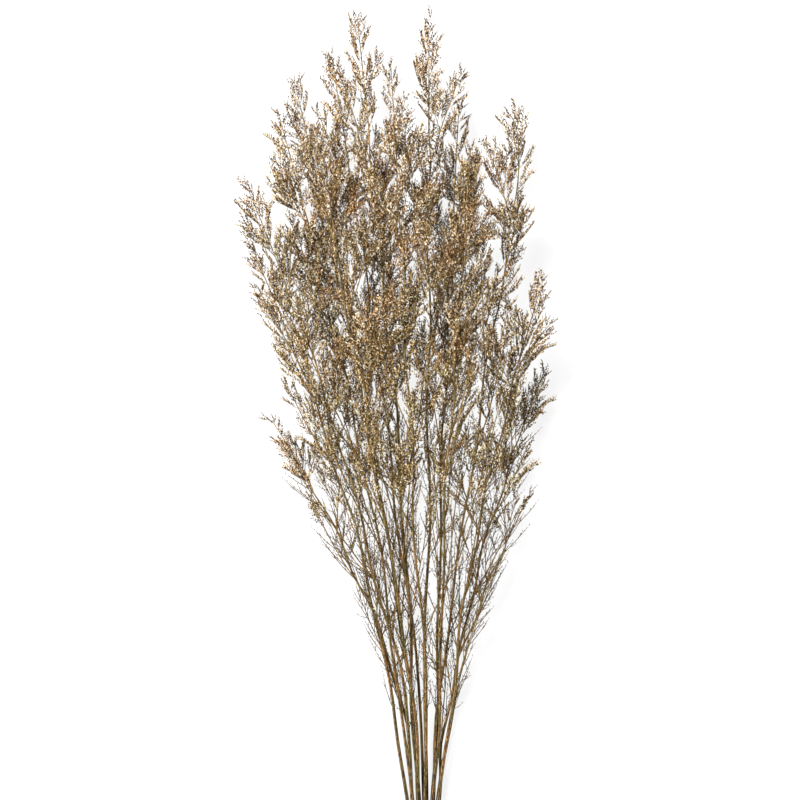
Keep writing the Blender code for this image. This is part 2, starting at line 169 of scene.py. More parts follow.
# The tie: its three turns, the steps and twist of the twine, and its knot with two tails.
STRANDS = (-2.0 * MM, 0.0, 2.0 * MM)
LOOP_STEPS = 90
TWINE_STEP = 0.7 * MM
TWINE_LAY = 4.2 * MM
PLY_SWELL = 1.12
KNOT_PLY = 0.9
KNOT_TURNS = 2.4
KNOT_HALF = 2.6 * MM
KNOT_REACH = 1.7 * MM
KNOT_RISE = 0.6
KNOT_FLAT = 0.8
KNOT_STEPS = 44
TAIL = ((4.5 * MM, 6.0 * MM, 1.0 * MM), (7.0 * MM, 14.0 * MM, 0.4 * MM), (7.6 * MM, 22.0 * MM, 0.9 * MM))
TAIL_CUTS = 6
WELD = 0.01 * MM

# Outline of the bunch seen from above, as (y, left x, right x).
OUTLINE = (
    (-0.440, 0.004, 0.056),
    (-0.250, -0.004, 0.052),
    (-0.200, -0.012, 0.064),
    (-0.150, -0.036, 0.094),
    (-0.100, -0.058, 0.114),
    (-0.040, -0.084, 0.138),
    (0.030, -0.124, 0.146),
    (0.100, -0.122, 0.154),
    (0.170, -0.142, 0.152),
    (0.215, -0.150, 0.128),
    (0.265, -0.152, 0.126),
    (0.345, -0.122, 0.118),
    (0.385, -0.106, 0.070),
    (0.440, -0.046, 0.036),
)

# The open notch between the two highest plumes, as (left x, right x, lowest y).
NOTCH = (-0.014, 0.020, 0.362)

# The wood: sides and cuts of the finer tubes, and how thin they are beside the solids.
STEM_FACETS = 10
STEM_CUTS = 3
STEM_SLIM = (0.92, 1.14)
STEM_TOP_SLIM = 0.72
SHOOT_FACETS = 5
SHOOT_CUTS = 2
SHOOT_SLIM = 0.88
SHOOT_TIP_SLIM = 0.68
RIDGE = 0.08
CUT_RIM = 0.35 * MM
CUT_DEPTH = 0.15 * MM

# A dry scale at the root of each shoot.
SCALE_LENGTH = 3.6 * MM
SCALE_WIDTH = 0.9 * MM
SCALE_FACETS = 5
SCALE_LEAN = 0.35
SCALE_FLAT = 0.45
SCALE_TIP = 0.05
SCALE_LIFT = 0.4 * MM

# Shades of the wood: one for each stem and shoot, changing up the stem and on thinner shoots.
STEM_TONES = (-0.12, 0.16)
SHOOT_TONE = 0.05
SCALE_TONES = (0.2, 0.8)
TWIGLET_TONES = (0.3, 0.6)
SHADE_OVER = 0.34
HIGH_SHADE = 0.5
THIN_SHADE = 0.2

# Sprigs: side twigs with florets, by length, number of spikes, and size and tone of the florets.
FULL_SPRIGS = (
    (9 * MM, 0, 0.95, -0.25),
    (13 * MM, 1, 0.98, -0.12),
    (22 * MM, 3, 1.02, 0.0),
    (32 * MM, 6, 1.05, 0.0),
)
THIN_SPRIGS = ((16 * MM, 0, 0.7, -0.2), (28 * MM, 1, 0.72, -0.2), (42 * MM, 2, 0.72, -0.15))
FLORET_EVERY = 1.6 * MM
THIN_EVERY = 4.6 * MM
THIN_BULK = 0.8
SPRIG_VARIANTS = 4
SPRIG_SEED = 7
SPRIG_STEPS = 4
SPRIG_RADIUS = 0.30 * MM
THIN_RADIUS = 0.48 * MM
STALK_END = 0.5
TWIGLET_SIDES = 3
THIN_CURL = 0.12
SPRIG_CURL = 0.30
CURL_VARY = (0.5, 1.5)
SPRIG_SWAY = 0.15

# Spikes, the side twigs of a sprig. A fall is the share at the inner end, and what it loses by the outer.
SPIKE_LENGTH = 10.0 * MM
SPIKE_VARY = (0.8, 1.2)
SPIKE_FALL = (1.2, 0.6)
SPIKE_ANGLE = math.radians(44.0)
SPIKE_SWING = 0.7
SPIKE_UPTURN = 0.25
SPIKE_END = 0.95
SPIKE_THIN = (0.8, 0.45)
SPIKES = (0.25, 0.9)

# Florets: in two rows along a twig, tilted outward, some of them open.
FLORET_FROM = 0.18
FLORET_SIDE = 0.75
FLORET_SWING = 0.4
FLORET_TILT = math.radians(50.0)
TILT_VARY = (0.7, 1.2)
TILT_FALL = (1.15, 0.5)
SIZE_VARY = (0.8, 1.12)
SIZE_FALL = (1.08, 0.25)
FLORET_FLAT = 0.85
OPEN_SHARE = 0.12
TONES = (-0.02, 0.90)
TIP_DARK = 0.55
BASE_PALE = 0.34

# An open floret: its base, then a funnel by root, depth, throat and mouth, and its tones.
OPEN_BASE = 0.62
CALYX_ROOT = 0.7
CALYX_DEPTH = 0.45
CALYX_THROAT = 0.4
CALYX_MOUTH = 1.2
CALYX_SINK = 0.35
RIM_TONE = 0.45
THROAT_TONE = -0.1
MOUTH_TONE = -0.3

# Where sprigs grow: spacing on the plume, the inner part of a shoot and the stem, lean and size.
PLUME_EVERY = 4.4 * MM
INNER_EVERY = 8.0 * MM
STEM_EVERY = 9.0 * MM
INNER_BARE = 0.3
FAN_WIDTH = 1.0
FAN_SHARE = 0.78
PLUME_END = 6.0 * MM
SPACING_VARY = (0.75, 1.25)
SPRIG_LEAN = math.radians(40.0)
THIN_LEAN = math.radians(20.0)
LEAN_VARY = (0.7, 1.3)
SPRIG_SIZES = (0.85, 1.1)
KIND_VARY = 0.9
THIN_SEED = 100
THIN_Y = (-0.13, 0.04)
BARE_Y = -0.290

# How crowded the sprigs are, by height along the bunch.
CROWD_Y = (-0.29, -0.24, -0.19, -0.15, -0.08, -0.04, 0.01, 0.04, 0.08, 0.12, 0.16, 0.24, 0.28, 0.33, 0.38)
CROWD = (0.5, 0.28, 0.66, 0.52, 0.34, 0.70, 0.42, 0.98, 1.14, 0.82, 1.02, 1.56, 0.88, 0.74, 1.1)

# Each sprig turns to where the fewest lie, in squares seen from above, and costs more past the bunch.
SQUARE = 5.0 * MM
SQUARES_FROM = (-0.25, -0.50)
SQUARES = (100, 210)
SPRIG_TRIES = 5
SPRIG_SPOTS = (0.4, 0.75, 1.05)
SHOOT_COVER = 0.5
STRAY_COST = 90.0
SPRIG_TOP = 0.140
POKE_COST = 1500.0
POKE_MOST = 0.003

# The camera looks straight down, with 1 mm to a pixel at the middle of the bunch.
VIEW_SIZE = 0.8
VIEW_CENTRE = (0.004, 0.054)
VIEW_PLANE = 0.065
VIEW_DISTANCE = 2.2
VIEW_END = 20.0
SENSOR = 36.0

# The floor and the soft lamp.
FLOOR_HALF = 4.0
FLOOR_DROP = 0.3 * MM
LAMP_SIZE = 0.8
LAMP_PLACE = (-0.8, 0.9, 2.1)
LAMP_AIM = (0.0, 0.1, 0.0)

# How dry surfaces shine, the depth of their grain, and colours by position on their ramps.
MATTE = 0.12
GRAIN = 0.2 * MM
COARSE_GRAIN = 0.3 * MM
WHITE = (1.0, 1.0, 1.0)
BARK_TINTS = ((0.36, (0.62, 0.72, 0.58)), (0.5, (0.95, 0.93, 0.82)), (0.64, (1.20, 0.98, 0.80)))
BARK_STREAKS = ((0.42, (0.12, 0.10, 0.08)), (0.62, WHITE))
# Painted shade: the pressed-in grooves of the bark are darkened as if shade lay in them.
BARK_GROOVE_SHADE = ((0.3, WHITE), (0.9, (0.16, 0.13, 0.10)))
PITH_COLOURS = ((0.3, (0.20, 0.13, 0.07)), (0.65, (0.50, 0.40, 0.26)))
HEAD_PATCHES = ((0.36, (0.84, 0.87, 0.80)), (0.5, WHITE), (0.64, (1.03, 0.89, 0.81)))
HEAD_OLIVE = ((0.0, (0.86, 0.93, 0.76)), (1.0, WHITE))
HEAD_Y = (-0.15, 0.25)
CALYX_DARK = ((0.0, (0.040, 0.019, 0.005)), (0.28, (0.170, 0.098, 0.034)))
CALYX_PALE = ((0.8, (0.56, 0.44, 0.28)), (1.0, (0.80, 0.72, 0.57)))
TWIGLET_WEAR = ((0.35, (0.7, 0.68, 0.66)), (0.65, (1.1, 1.08, 1.05)))
TWINE_FIBRES = ((0.3, (0.12, 0.08, 0.04)), (0.5, (0.30, 0.21, 0.12)), (0.75, (0.46, 0.35, 0.22)))

UP = Vector((0.0, 1.0, 0.0))


def smooth(value):
    """Ease from 0 to 1."""
    value = min(1.0, max(0.0, value))
    return value * value * (3.0 - 2.0 * value)


def outline_at(y):
    """Left and right limit of the bunch at this height."""
    for low, high in zip(OUTLINE, OUTLINE[1:]):
        if y <= high[0]:
            part = max(0.0, (y - low[0]) / (high[0] - low[0]))
            return low[1] + (high[1] - low[1]) * part, low[2] + (high[2] - low[2]) * part
    return OUTLINE[-1][1:]


def outside(points):
    """How far the points stray past the outline, in metres."""
    stray = 0.0
    for point in points:
        left, right = outline_at(point.y)
        stray = max(stray, left - point.x, point.x - right, point.y - OUTLINE[-1][0])
        stray = max(stray, min(point.x - NOTCH[0], NOTCH[1] - point.x, point.y - NOTCH[2]))
    return stray


class Room:
    """Every shoot placed so far, as rods with the stem that owns them."""

    def __init__(self):
        self.starts = np.zeros((0, 3))
        self.ends = np.zeros((0, 3))
        self.radii = np.zeros(0)
        self.owners = np.zeros(0, int)
        self.tips = []

    def add(self, shoot, owner):
        rows = np.array([tuple(point) for point in shoot.points])
        thick = np.maximum(shoot.radii[:-1], shoot.radii[1:])
        self.starts = np.vstack((self.starts, rows[:-1]))
        self.ends = np.vstack((self.ends, rows[1:]))
        self.radii = np.concatenate((self.radii, thick))
        self.owners = np.concatenate((self.owners, np.full(len(thick), owner)))

    def gap(self, shoot, owner):
        """Smallest clear distance from a shoot to those of other stems."""
        others = self.owners != owner
        best = 1.0
        if not others.any():
            return best
        starts, ends, thick = self.starts[others], self.ends[others], self.radii[others]
        for index in range(len(shoot.points) - 1):
            start = np.array(shoot.points[index])
            end = np.array(shoot.points[index + 1])
            reach = rod_distance(start, end, starts, ends) - thick
            best = min(best, float(reach.min()) - max(shoot.radii[index : index + 2]))
        return best

    def crowding(self, point):
        """Distance from the nearest tip that is already there."""
        if not self.tips:
            return 1.0
        rows = np.array(self.tips) - np.array(point)
        return float(np.sqrt((rows * rows).sum(1).min()))


# The place of one sprig: root, direction of the shoot, turn round it and share of the full length.
Bud = collections.namedtuple("Bud", "root along around share")


class Shoot:
    """A stem, branch or twig: its points, its radii and how many outer steps bear florets."""

    def __init__(self, points, radii, bearing):
        self.points = points
        self.radii = radii
        self.bearing = bearing


class Stem:
    """One cut stem: its place in the tie and its shoots, the main stem first."""

    def __init__(self, row, column, trunk):
        self.row = row
        self.column = column
        self.tip_y = ROWS[row][column][1]
        self.shoots = [trunk]


def rod_distance(start, end, starts, ends):
    """Distance between one segment and many."""
    along = end - start
    others = ends - starts
    between = start - starts
    a = max(along @ along, 1e-12)
    e = np.maximum((others * others).sum(1), 1e-12)
    b = others @ along
    c = between @ along
    f = (others * between).sum(1)
    s = np.clip((b * f - c * e) / np.maximum(a * e - b * b, 1e-18), 0.0, 1.0)
    t = np.clip((b * s + f) / e, 0.0, 1.0)
    s = np.clip((b * t - c) / a, 0.0, 1.0)
    gap = between + s[:, None] * along - t[:, None] * others
    return np.sqrt((gap * gap).sum(1))


def foot_place(row, column):
    """Where a stem passes through the tie, as x and z."""
    count = len(ROWS[row])
    x = FOOT_X + (column - 0.5 * (count - 1)) * FOOT_PITCH
    return x, ROW_BASE + row * ROW_PITCH


def axis_point(row, column, y):
    """Middle of a stem at a height y, from the cut end to the tip."""
    tip_x, tip_y, bow, hook = ROWS[row][column]
    foot_x, foot_z = foot_place(row, column)
    start = TIE_Y + TIE_HALF
    if y <= start:
        flare = 1.0 + FLARE * max(0.0, TIE_Y - TIE_HALF - y)
        return Vector((FOOT_X + (foot_x - FOOT_X) * flare, y, foot_z))
    rise = (y - start) / (tip_y - start)
    fan = rise ** bow
    x = foot_x + (tip_x - foot_x) * fan
    x += (foot_x - FOOT_X) * SPREAD * smooth((y - start) / SPREAD_OVER) * (1.0 - fan)
    sway = min(1.0, (y - start) / SWAY_OVER)
    x += (ROW_SWAY[row] + STEM_SWAY[column]) * math.sin(math.pi * sway) ** 2
    side = math.sqrt(max(0.0, 1.0 - (tip_x / HEAD_HALF) ** 2))
    layer = LAYER_Z[row]
    if layer > LAYER_MID:
        layer = LAYER_MID + (layer - LAYER_MID) * side
    z = foot_z + (layer - foot_z) * smooth((y - start) / LAYER_RUN)
    bent = max(0.0, (rise - HOOK_FROM) / (1.0 - HOOK_FROM))
    return Vector((x - hook * bent ** 3, y - HOOK_DROP * hook * bent ** 6, z))


def stem_radius(y, tip_y):
    """The stem thins evenly from its foot to its top."""
    share = (y - CUT_Y) / (tip_y - CUT_Y)
    return FOOT_RADIUS + (STEM_TOP_RADIUS - FOOT_RADIUS) * share


def main_stem(row, column, kink):
    """A main stem, bent a little at each branch."""
    tip_y = ROWS[row][column][1]
    start = TIE_Y + TIE_HALF
    heights = [CUT_Y, TIE_Y - TIE_HALF, start]
    heights += [start + (tip_y - start) * rise for rise in PLAIN_RISES + NODE_RISES]
    points = [axis_point(row, column, y) for y in heights]
    for index in range(FIRST_NODE, len(points)):
        points[index].x += kink if (index + column) % 2 else -kink
    return Shoot(points, [stem_radius(y, tip_y) for y in heights], 0)


def clear_stem(room, owner, row, column):
    """A main stem whose bends are as strong as the stems beside it allow."""
    for kink in KINKS:
        trunk = main_stem(row, column, kink)
        if room.gap(trunk, owner) > CLEAR:
            break
    return trunk


def step_lengths(length):
    """Long bare steps first, then the short bearing steps."""
    bearing = BEAR_STEPS * BEAR_STEP
    bare = max(BARE_LEAST, length - bearing)
    return [bare / BRANCH_BARE_STEPS] * BRANCH_BARE_STEPS + [BEAR_STEP] * BEAR_STEPS


def reach_out(root, heading, steps, turn, rng):
    """Grow a shoot from its root, turning towards the tips of the bunch."""
    points = [root.copy()]
    heading = heading.normalized()
    for step in steps:
        wobble = Vector((rng.uniform(-1, 1), 0.0, rng.uniform(-1, 1))) * WOBBLE
        heading = (heading + UP * turn * step + wobble).normalized()
        point = points[-1] + heading * step
        if point.z < FLOOR_Z:
            point.z = FLOOR_Z
            heading.z = max(0.0, heading.z)
        if point.z > HEAD_TOP:
            point.z = HEAD_TOP
            heading.z = min(0.0, heading.z)
        points.append(point)
    return points


def side_heading(trend, angle, around):
    """A direction that leaves the trend by an angle, flatter in height than in width."""
    out = Vector((math.cos(around), 0.0, FLATNESS * math.sin(around)))
    return trend.normalized() * math.cos(angle) + out * math.sin(angle)


def best_shoot(room, owner, shoot_start, form, rng):
    """Try several directions and keep the clear one with the most room round its tip."""
    root, trend, around = shoot_start
    lean, turn, steps, radii, bearing = form
    best = None
    best_score = 0.0
    for attempt in range(TRIES):
        angle = math.radians(lean + rng.uniform(-LEAN_SPREAD, LEAN_SPREAD))
        heading = side_heading(trend, angle, around + attempt * GOLDEN_TURN)
        shoot = Shoot(reach_out(root, heading, steps, turn, rng), radii, bearing)
        if room.gap(shoot, owner) < CLEAR:
            continue
        score = 1.0 + room.crowding(shoot.points[-1]) - OUTLINE_WEIGHT * outside(shoot.points)
        if score > best_score:
            best = shoot
            best_score = score
    return best


def grow_bunch():
    """Every stem with all its shoots, grown by the same rule as the solids."""
    room = Room()
    stems = []
    for row, stems_in_row in enumerate(ROWS):
        for column in range(len(stems_in_row)):
            trunk = clear_stem(room, len(stems), row, column)
            room.add(trunk, len(stems))
            stems.append(Stem(row, column, trunk))
    for owner, stem in enumerate(stems):
        keep(room, owner, stem, leader(room, owner, stem))
    for node in range(len(NODE_RISES)):
        for owner, stem in enumerate(stems):
            keep(room, owner, stem, branch(room, owner, stem, node))
    for owner, stem in enumerate(stems):
        grow_twigs(room, owner, stem)
    return stems


def keep(room, owner, stem, shoot):
    """Note a new shoot, if there was room for one."""
    if shoot:
        room.add(shoot, owner)
        room.tips.append(tuple(shoot.points[-1]))
        stem.shoots.append(shoot)


def taper(first, last, count):
    """Radii that thin evenly."""
    return [first + (last - first) * index / (count - 1) for index in range(count)]


def leader(room, owner, stem):
    """The top of the main stem, out to the tip of the bunch."""
    trunk = stem.shoots[0]
    start = TIE_Y + TIE_HALF
    steps = step_lengths((stem.tip_y - start) * (1.0 - NODE_RISES[-1]))
    radii = taper(trunk.radii[-1] * LEADER_THIN, BRANCH_END_RADIUS, len(steps) + 1)
    sunk = (trunk.points[-1] - trunk.points[-2]).normalized() * LEADER_SINK
    for lift in LEADER_LIFTS:
        points = [trunk.points[-1] - sunk]
        for count in range(1, len(steps) + 1):
            share = sum(steps[:count]) / sum(steps)
            rise = NODE_RISES[-1] + (1.0 - NODE_RISES[-1]) * share
            point = axis_point(stem.row, stem.column, start + (stem.tip_y - start) * rise)
            points.append(point + Vector((0.0, 0.0, lift * share)))
        shoot = Shoot(points, radii, BEAR_STEPS)
        if room.gap(shoot, owner) > CLEAR:
            break
    return shoot


def branch(room, owner, stem, node):
    """One side branch from a bend of the main stem."""
    rng = random.Random(SEED + BRANCH_SEED_STEP * owner + node)
    points = stem.shoots[0].points
    index = FIRST_NODE + node
    share = node / (len(NODE_RISES) - 1)
    reach = min(1.0, (points[-1].y - TIE_Y) / BRANCH_REACH)
    length = (BRANCH_LONG + (BRANCH_SHORT - BRANCH_LONG) * share) * reach
    steps = step_lengths(length * rng.uniform(1.0 - BRANCH_VARY, 1.0 + BRANCH_VARY))
    radii = taper(BRANCH_RADIUS, BRANCH_END_RADIUS, len(steps) + 1)
    around = 0.0 if (index + stem.column) % 2 == 0 else math.pi
    start = (points[index], points[index] - points[index - 1], around)
    return best_shoot(room, owner, start, (BRANCH_LEAN, BRANCH_TURN, steps, radii, BEAR_STEPS), rng)


def grow_twigs(room, owner, stem):
    """Twigs from the bends of the leader and the branches, turn by turn."""
    rng = random.Random(SEED + TWIG_SEED + owner)
    hosts = stem.shoots[1:]
    steps = [TWIG_LENGTH / TWIG_STEPS] * TWIG_STEPS
    radii = taper(TWIG_RADIUS, TWIG_END_RADIUS, len(steps) + 1)
    form = (TWIG_LEAN, TWIG_TURN, steps, radii, TWIG_STEPS)
    for turn in range(TWIG_COUNT):
        points = hosts[turn % len(hosts)].points
        index = 2 + (turn // len(hosts) + turn) % 2
        start = (points[index], points[index] - points[index - 1], 0.0 if turn % 2 else math.pi)
        keep(room, owner, stem, best_shoot(room, owner, start, form, rng))


class StaticeSettings(bpy.types.PropertyGroup):
    """Sizes and colours of the dressed bunch."""

    floret_length: bpy.props.FloatProperty(
        name="Floret length", description="Length of one floret", default=3.5 * MM, unit="LENGTH"
    )
    floret_width: bpy.props.FloatProperty(
        name="Floret width", description="Width of one floret", default=1.75 * MM, unit="LENGTH"
    )
    twine_ply: bpy.props.FloatProperty(
        name="Twine ply", description="Radius of one ply of the twine", default=0.5 * MM, unit="LENGTH"
    )
    foot_colour: bpy.props.FloatVectorProperty(
        name="Foot colour",
        description="Bark near the cut ends",
        subtype="COLOR",
        default=(0.29, 0.195, 0.092),
    )
    stem_colour: bpy.props.FloatVectorProperty(
        name="Stem colour", description="Bark half way up", subtype="COLOR", default=(0.345, 0.252, 0.112)
    )
    twig_colour: bpy.props.FloatVectorProperty(
        name="Twig colour", description="Thin twigs", subtype="COLOR", default=(0.235, 0.145, 0.062)
    )
    calyx_colour: bpy.props.FloatVectorProperty(
        name="Calyx colour",
        description="Papery part of a floret",
        subtype="COLOR",
        default=(0.42, 0.282, 0.135),
    )
    bract_colour: bpy.props.FloatVectorProperty(
        name="Bract colour",
        description="Brown scale of a floret",
        subtype="COLOR",
        default=(0.17, 0.092, 0.034),
    )
    floor_colour: bpy.props.FloatVectorProperty(
        name="Floor colour", description="The plain floor", subtype="COLOR", default=(0.13, 0.13, 0.13)
    )
    light_power: bpy.props.FloatProperty(
        name="Light power", description="Power of the soft lamp", default=145.0, unit="POWER"
    )
    floor_glow: bpy.props.FloatProperty(
        name="Floor glow", description="Light that the pale floor gives of its own", default=0.85
    )
    sky_strength: bpy.props.FloatProperty(
        name="Sky strength", description="Strength of the even white light", default=0.42
    )


def settings():
    return bpy.context.scene.statice


def catmull(before, start, end, after, t):
    """A point between start and end on the smooth curve through all four."""
    bend = 2.0 * before - 5.0 * start + 4.0 * end - after
    twist = 3.0 * start - before - 3.0 * end + after
    return 0.5 * (2.0 * start + (end - before) * t + bend * t * t + twist * t * t * t)


def smooth_shoot(shoot, cuts, slim, tip_slim):
    """The shoot on a smooth curve, with finer steps and slimmer radii."""
    points, radii = [], []
    last = len(shoot.points) - 1
    for index in range(last):
        start, end = shoot.points[index], shoot.points[index + 1]
        before = shoot.points[max(0, index - 1)]
        after = shoot.points[min(last, index + 2)]
        for cut in range(cuts):
            t = cut / cuts
            radius = shoot.radii[index] + (shoot.radii[index + 1] - shoot.radii[index]) * t
            points.append(catmull(before, start, end, after, t))
            radii.append(radius * (slim + (tip_slim - slim) * (index + t) / last))
    points.append(shoot.points[-1].copy())
    radii.append(shoot.radii[-1] * tip_slim)
    return Shoot(points, radii, shoot.bearing)


def placed(spot, heading, sizes=(1.0, 1.0, 1.0)):
    """Matrix that sets a shape at a spot, with its +Z along a heading and with these sizes."""
    turn = heading.to_track_quat("Z", "Y").to_matrix().to_4x4()
    return Matrix.Translation(spot) @ turn @ Matrix.Diagonal((*sizes, 1.0))


def ring_matrix(points, index, radius):
    """Place, turn and size of a ring on a shoot."""
    before = points[index] - points[max(0, index - 1)]
    after = points[min(len(points) - 1, index + 1)] - points[index]
    return placed(points[index], before.normalized() + after.normalized(), (radius,) * 3)


def tube(points, radii, sides, flat_tip):
    """A closed tube along the points, as its own mesh in progress."""
    bm = bmesh.new()
    place = ring_matrix(points, 0, radii[0])
    bmesh.ops.create_circle(bm, cap_ends=False, segments=sides, radius=1.0, matrix=place)
    ring = list(bm.edges)
    bmesh.ops.holes_fill(bm, edges=ring)
    first = set(ring)
    for index in range(1, len(points)):
        new = bmesh.ops.extrude_edge_only(bm, edges=ring)["geom"]
        verts = [item for item in new if isinstance(item, bmesh.types.BMVert)]
        following = ring_matrix(points, index, radii[index])
        bmesh.ops.transform(bm, matrix=following @ place.inverted(), verts=verts)
        ring = [edge for edge in bm.edges if edge.is_boundary and edge not in first]
        place = following
    if flat_tip:
        bmesh.ops.holes_fill(bm, edges=ring)
    else:
        bmesh.ops.pointmerge(bm, verts=verts, merge_co=points[-1])
    bmesh.ops.recalc_face_normals(bm, faces=bm.faces)
    return bm


def paint(bm, value):
    """Give every vertex its shade, a number or a function of the vertex."""
    layer = bm.verts.layers.float.get("shade") or bm.verts.layers.float.new("shade")
    for vert in bm.verts:
        vert[layer] = value(vert) if callable(value) else value


def mesh_of(bm, name):
    """Turn a mesh in progress into a mesh."""
    mesh = bpy.data.meshes.new(name)
    bm.to_mesh(mesh)
    bm.free()
    return mesh


def add_object(name, data):
    """A new object in the scene."""
    item = bpy.data.objects.new(name, data)
    bpy.context.scene.collection.objects.link(item)
    return item


def pour(target, source):
    """Add one mesh in progress to another."""
    mesh = mesh_of(source, "part")
    target.from_mesh(mesh, face_normals=False, vertex_normals=False)
    bpy.data.meshes.remove(mesh)


def new_store(*layers):
    """An empty mesh in progress that holds these numbers for each vertex."""
    bm = bmesh.new()
    for layer in layers:
        bm.verts.layers.float.new(layer)
    return bm


def finish_piece(bm, name, node, materials, smooth_faces):
    """Turn a mesh in progress into a finished piece of the bunch."""
    bm.normal_update()
    mesh = mesh_of(bm, name)
    for material in materials:
        mesh.materials.append(material)
    if smooth_faces:
        mesh.shade_smooth()
    piece = add_object(name, mesh)
    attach(piece, "root")
    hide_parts(node)


class Nodes:
    """A short way to write a node tree."""

    def __init__(self, material):
        self.tree = material.node_tree
        self.shader = self.tree.nodes["Principled BSDF"]

    def add(self, kind, links=(), **values):
        node = self.tree.nodes.new(kind)
        for key, value in values.items():
            setattr(node, key, value)
        for socket, source in links:
            self.link(source, node.inputs[socket])
        return node

    def link(self, source, target):
        if isinstance(source, (int, float, tuple)):
            target.default_value = source
        else:
            self.tree.links.new(source, target)

    def noise(self, scale, stretch=(1.0, 1.0, 1.0), detail=3.0):
        """Noise on the object's own coordinates, stretched along its axes."""
        place = self.add("ShaderNodeTexCoord").outputs["Object"]
        sized = self.add("ShaderNodeMapping", [("Vector", place), ("Scale", stretch)])
        links = [("Vector", sized.outputs["Vector"]), ("Scale", scale), ("Detail", detail)]
        return self.add("ShaderNodeTexNoise", links).outputs["Fac"]

    def ramp(self, factor, stops):
        """Colours by position, read at a factor."""
        node = self.add("ShaderNodeValToRGB", [("Fac", factor)])
        elements = node.color_ramp.elements
        while len(elements) < len(stops):
            elements.new(0.5)
        for element, (position, colour) in zip(elements, stops):
            element.position = position
            element.color = (*colour, 1.0)
        return node.outputs["Color"]

    def times(self, first, second, share=1.0):
        """One colour multiplied by another, in full or in part."""
        node = self.add("ShaderNodeMix", data_type="RGBA", blend_type="MULTIPLY")
        for socket, value in (("Factor_Float", share), ("A_Color", first), ("B_Color", second)):
            self.link(value, next(item for item in node.inputs if item.identifier == socket))
        return next(item for item in node.outputs if item.identifier == "Result_Color")

    def math(self, operation, *values):
        node = self.add("ShaderNodeMath", operation=operation)
        for socket, value in zip(node.inputs, values):
            self.link(value, socket)
        return node.outputs["Value"]

    def carried(self, name):
        """A number that each vertex carries."""
        return self.add("ShaderNodeAttribute", attribute_name=name).outputs["Fac"]

    def base_colour(self, colour):
        self.link(colour, self.shader.inputs["Base Color"])

    def bump(self, height, strength, distance):
        links = [("Height", height), ("Strength", strength), ("Distance", distance)]
        node = self.add("ShaderNodeBump", links)
        self.link(node.outputs["Normal"], self.shader.inputs["Normal"])


def new_material(name, rough):
    """An empty Principled material and its node writer."""
    material = bpy.data.materials.new(name)
    material.use_nodes = True
    nodes = Nodes(material)
    nodes.shader.inputs["Roughness"].default_value = rough
    nodes.shader.inputs["Specular IOR Level"].default_value = MATTE
    return material, nodes


def scaled(colour, factor):
    return tuple(min(1.0, channel * factor) for channel in colour)


def bark_material():
    """Dry bark with fine streaks and painted shade in its grooves: olive half way up, brown at the foot
    and on the twigs.
    """
    material, nodes = new_material("dry_bark", 0.72)
    foot, stem, twig = settings().foot_colour, settings().stem_colour, settings().twig_colour
    streaks = nodes.noise(1500.0, (1.0, 0.035, 1.0), 5.0)
    patches = nodes.noise(45.0, (1.0, 0.4, 1.0), 2.0)
    place = nodes.math("ADD", nodes.carried("shade"), nodes.math("MULTIPLY_ADD", patches, 0.36, -0.18))
    base = nodes.ramp(place, ((0.0, foot), (0.35, scaled(foot, 1.35)), (0.55, stem), (1.0, twig)))
    tint = nodes.ramp(nodes.noise(120.0, (1.0, 0.02, 1.0), 1.0), BARK_TINTS)
    # Painted shade darkens the pressed-in grooves of the bark.
    groove_shading = nodes.ramp(nodes.carried("groove_shade"), BARK_GROOVE_SHADE)
    tinted = nodes.times(nodes.times(base, tint), groove_shading)
    nodes.base_colour(nodes.times(tinted, nodes.ramp(streaks, BARK_STREAKS), 0.9))
    nodes.bump(streaks, 0.5, COARSE_GRAIN)
    return material


def pith_material():
    """The pale, dry pith in the cut face of a stem."""
    material, nodes = new_material("cut_pith", 0.9)
    grain = nodes.noise(2500.0, detail=4.0)
    nodes.base_colour(nodes.ramp(grain, PITH_COLOURS))
    nodes.bump(grain, 0.4, GRAIN)
    return material


def head_tint(nodes):
    """Slow drift of colour over the head: warmer in patches and more olive low down."""
    warm = nodes.ramp(nodes.noise(22.0, detail=5.0), HEAD_PATCHES)
    place = nodes.add("ShaderNodeTexCoord").outputs["Object"]
    height = nodes.add("ShaderNodeSeparateXYZ", [("Vector", place)]).outputs["Y"]
    links = [("Value", height), ("From Min", HEAD_Y[0]), ("From Max", HEAD_Y[1])]
    spread = nodes.add("ShaderNodeMapRange", links).outputs["Result"]
    return nodes.times(warm, nodes.ramp(spread, HEAD_OLIVE))


def head_material(name, rough, stops, relief):
    """A dry, grained skin that is coloured by each vertex's shade and by its place in the head."""
    material, nodes = new_material(name, rough)
    tone = nodes.ramp(nodes.carried("shade"), stops)
    nodes.base_colour(nodes.times(tone, head_tint(nodes)))
    nodes.bump(nodes.noise(2600.0, detail=3.0), relief, GRAIN)
    return material


def calyx_material():
    """Papery calyx: from dark brown over golden tan to cream."""
    stops = (*CALYX_DARK, (0.55, scaled(settings().calyx_colour, 0.95)), *CALYX_PALE)
    return head_material("papery_calyx", 0.62, stops, 0.35)


def bract_material():
    """Brown scale under the calyx, some of them nearly black."""
    bract = settings().bract_colour
    stops = ((0.0, scaled(bract, 0.3)), (0.5, bract), (1.0, scaled(bract, 2.4)))
    return head_material("brown_bract", 0.6, stops, 0.3)


def twiglet_material():
    """Dark brown skin of the thinnest twigs."""
    material, nodes = new_material("dry_twiglet", 0.7)
    streaks = nodes.noise(1400.0, detail=3.0)
    twig = settings().twig_colour
    base = nodes.ramp(nodes.carried("shade"), ((0.3, scaled(twig, 0.17)), (0.6, scaled(twig, 0.6))))
    nodes.base_colour(nodes.times(base, nodes.ramp(streaks, TWIGLET_WEAR)))
    nodes.bump(streaks, 0.3, GRAIN)
    return material


